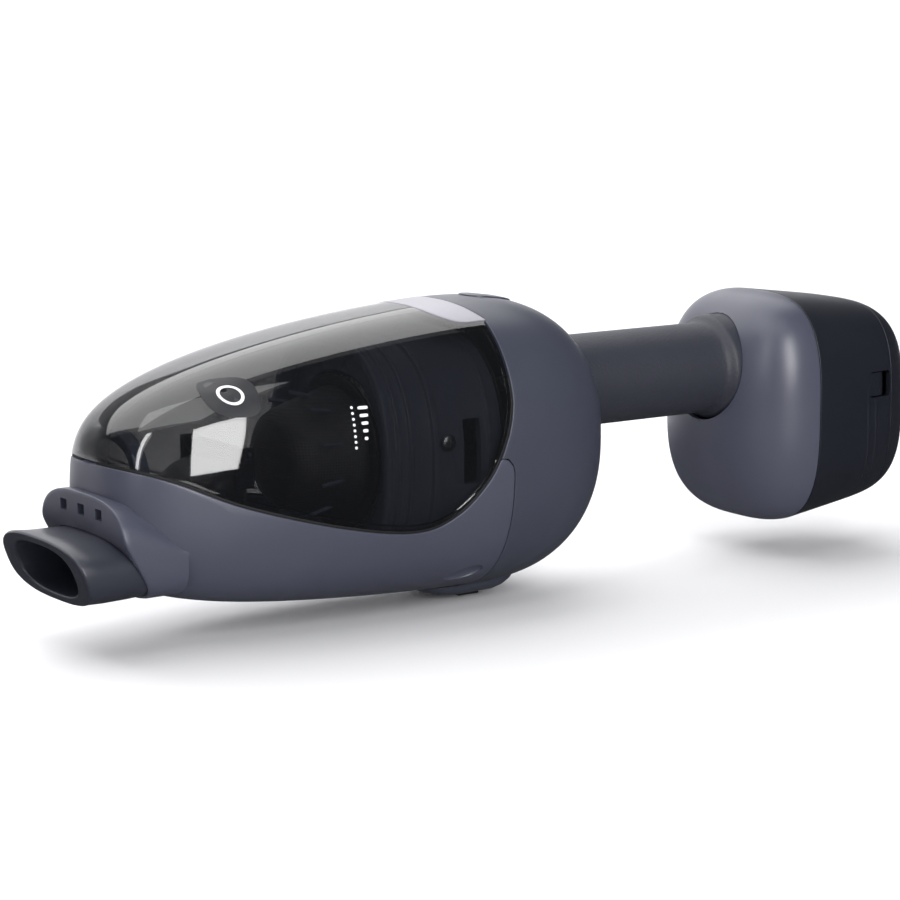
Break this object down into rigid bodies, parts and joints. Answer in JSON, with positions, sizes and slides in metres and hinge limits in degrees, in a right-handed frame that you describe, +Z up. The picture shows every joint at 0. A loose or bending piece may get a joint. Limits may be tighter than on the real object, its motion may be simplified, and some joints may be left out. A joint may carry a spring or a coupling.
{
  "type": "handheld vacuum",
  "caption": "Cordless handheld vacuum: clear dust container with slanted nozzle, motor unit, round grip and a battery pod behind.",
  "frame": {"origin": "bottom centre of the bounding box, level with the rubber pad under the belly foot", "axes": "+X from the nozzle to the battery pod, +Z up, Y across"},
  "size_m": [0.4088, 0.099, 0.1199],
  "materials": {
    "grey_abs": "moulded ABS, satin slate grey",
    "grip_abs": "moulded ABS with a fine spark-eroded texture",
    "pod_front_abs": "moulded ABS, satin dark grey",
    "pod_rear_abs": "moulded ABS, matte blue black",
    "black_abs": "moulded ABS, black",
    "black_mesh": "fine black screen moulded in a frame",
    "smoked_polycarbonate": "clear polycarbonate with a smoked tint, polished",
    "silver_abs": "silver painted ABS, satin",
    "rubber": "black rubber",
    "steel": "zinc plated",
    "filter_paper": "pleated filter paper",
    "foam": "open-cell foam",
    "circuit_board": "glass-epoxy board with green solder mask",
    "cell_can": "battery cell in a blue shrink sleeve",
    "red_pvc": "red PVC lead",
    "brass": "bare brass contact"
  },
  "bodies": {
    "motor_unit": {"motor_housing": "grey_abs", "bulkhead": "black_abs", "bulkhead_screw_1": "steel", "bulkhead_screw_2": "steel", "bulkhead_screw_3": "steel", "bulkhead_screw_4": "steel", "fan_shroud": "black_abs", "motor_can": "steel", "motor_mount": "rubber", "exhaust_foam": "foam", "latch_spring": "steel", "power_switch": "black_abs", "control_board": "circuit_board", "belly_foot": "grey_abs", "foot_pad": "rubber", "grip_core": "black_abs", "grip_sleeve": "grip_abs", "lead_positive": "red_pvc", "lead_negative": "rubber", "pod_front_housing": "pod_front_abs", "terminal_block": "black_abs", "terminal_positive": "brass", "terminal_negative": "brass"},
    "fan": {"impeller": "black_abs", "motor_shaft": "steel"},
    "dust_container": {"canopy": "smoked_polycarbonate", "canopy_gasket": "rubber", "lower_casing": "grey_abs", "nozzle": "grey_abs", "nose_arch": "black_abs", "inlet_duct": "black_abs", "flap_pin": "steel"},
    "inlet_flap": {"inlet_flap": "rubber"},
    "filter": {"filter_drum": "black_abs", "prefilter_cone": "black_mesh", "fine_filter": "filter_paper", "filter_seal": "rubber", "filter_screw_left": "steel", "filter_screw_right": "steel"},
    "release_button": {"release_button": "silver_abs"},
    "power_button": {"power_button": "grey_abs"},
    "battery_pack": {"battery_casing": "pod_rear_abs", "rear_cover": "pod_rear_abs", "charge_socket": "black_abs", "pack_plate": "black_abs", "pack_contacts": "brass", "cell_1": "cell_can", "cell_2": "cell_can", "cell_3": "cell_can", "cell_4": "cell_can", "cell_5": "cell_can", "cell_6": "cell_can", "cell_tray_top": "black_abs", "cell_tray_bottom": "black_abs", "battery_board": "circuit_board"},
    "battery_latch_left": {"battery_latch_left": "pod_rear_abs"},
    "battery_latch_right": {"battery_latch_right": "pod_rear_abs"}
  },
  "joints": [
    {"name": "container_slide", "type": "slide", "parent": "motor_unit", "child": "dust_container", "axis": [-1, 0, 0], "range_m": [0, 0.12]},
    {"name": "filter_slide", "type": "slide", "parent": "motor_unit", "child": "filter", "axis": [-1, 0, 0], "range_m": [0, 0.03]},
    {"name": "inlet_flap_hinge", "type": "hinge", "parent": "dust_container", "child": "inlet_flap", "pos_m": [-0.12545, 0, 0.0698], "axis": [0, -1, 0], "range_deg": [0, 40]},
    {"name": "fan_spin", "type": "hinge", "parent": "motor_unit", "child": "fan", "pos_m": [-0.00195, 0, 0.0627], "axis": [1, 0, 0], "continuous": true},
    {"name": "release_press", "type": "slide", "parent": "motor_unit", "child": "release_button", "axis": [0, 0, -1], "range_m": [0, 0.0025], "stiffness_N_per_m": 900, "springref_m": -0.002, "deforming": ["latch_spring"]},
    {"name": "power_press", "type": "slide", "parent": "motor_unit", "child": "power_button", "axis": [0, 0, -1], "range_m": [0, 0.0012], "stiffness_N_per_m": 1200, "springref_m": -0.0015},
    {"name": "battery_slide", "type": "slide", "parent": "motor_unit", "child": "battery_pack", "axis": [1, 0, 0], "range_m": [0, 0.07]},
    {"name": "battery_latch_left_press", "type": "slide", "parent": "battery_pack", "child": "battery_latch_left", "axis": [0, 1, 0], "range_m": [0, 0.0015], "stiffness_N_per_m": 900, "springref_m": -0.0015},
    {"name": "battery_latch_right_press", "type": "slide", "parent": "battery_pack", "child": "battery_latch_right", "axis": [0, -1, 0], "range_m": [0, 0.0015], "stiffness_N_per_m": 900, "springref_m": -0.0015}
  ],
  "couplings": [
    {"joint": "filter_slide", "follows": "container_slide", "ratio": 0.25}
  ]
}
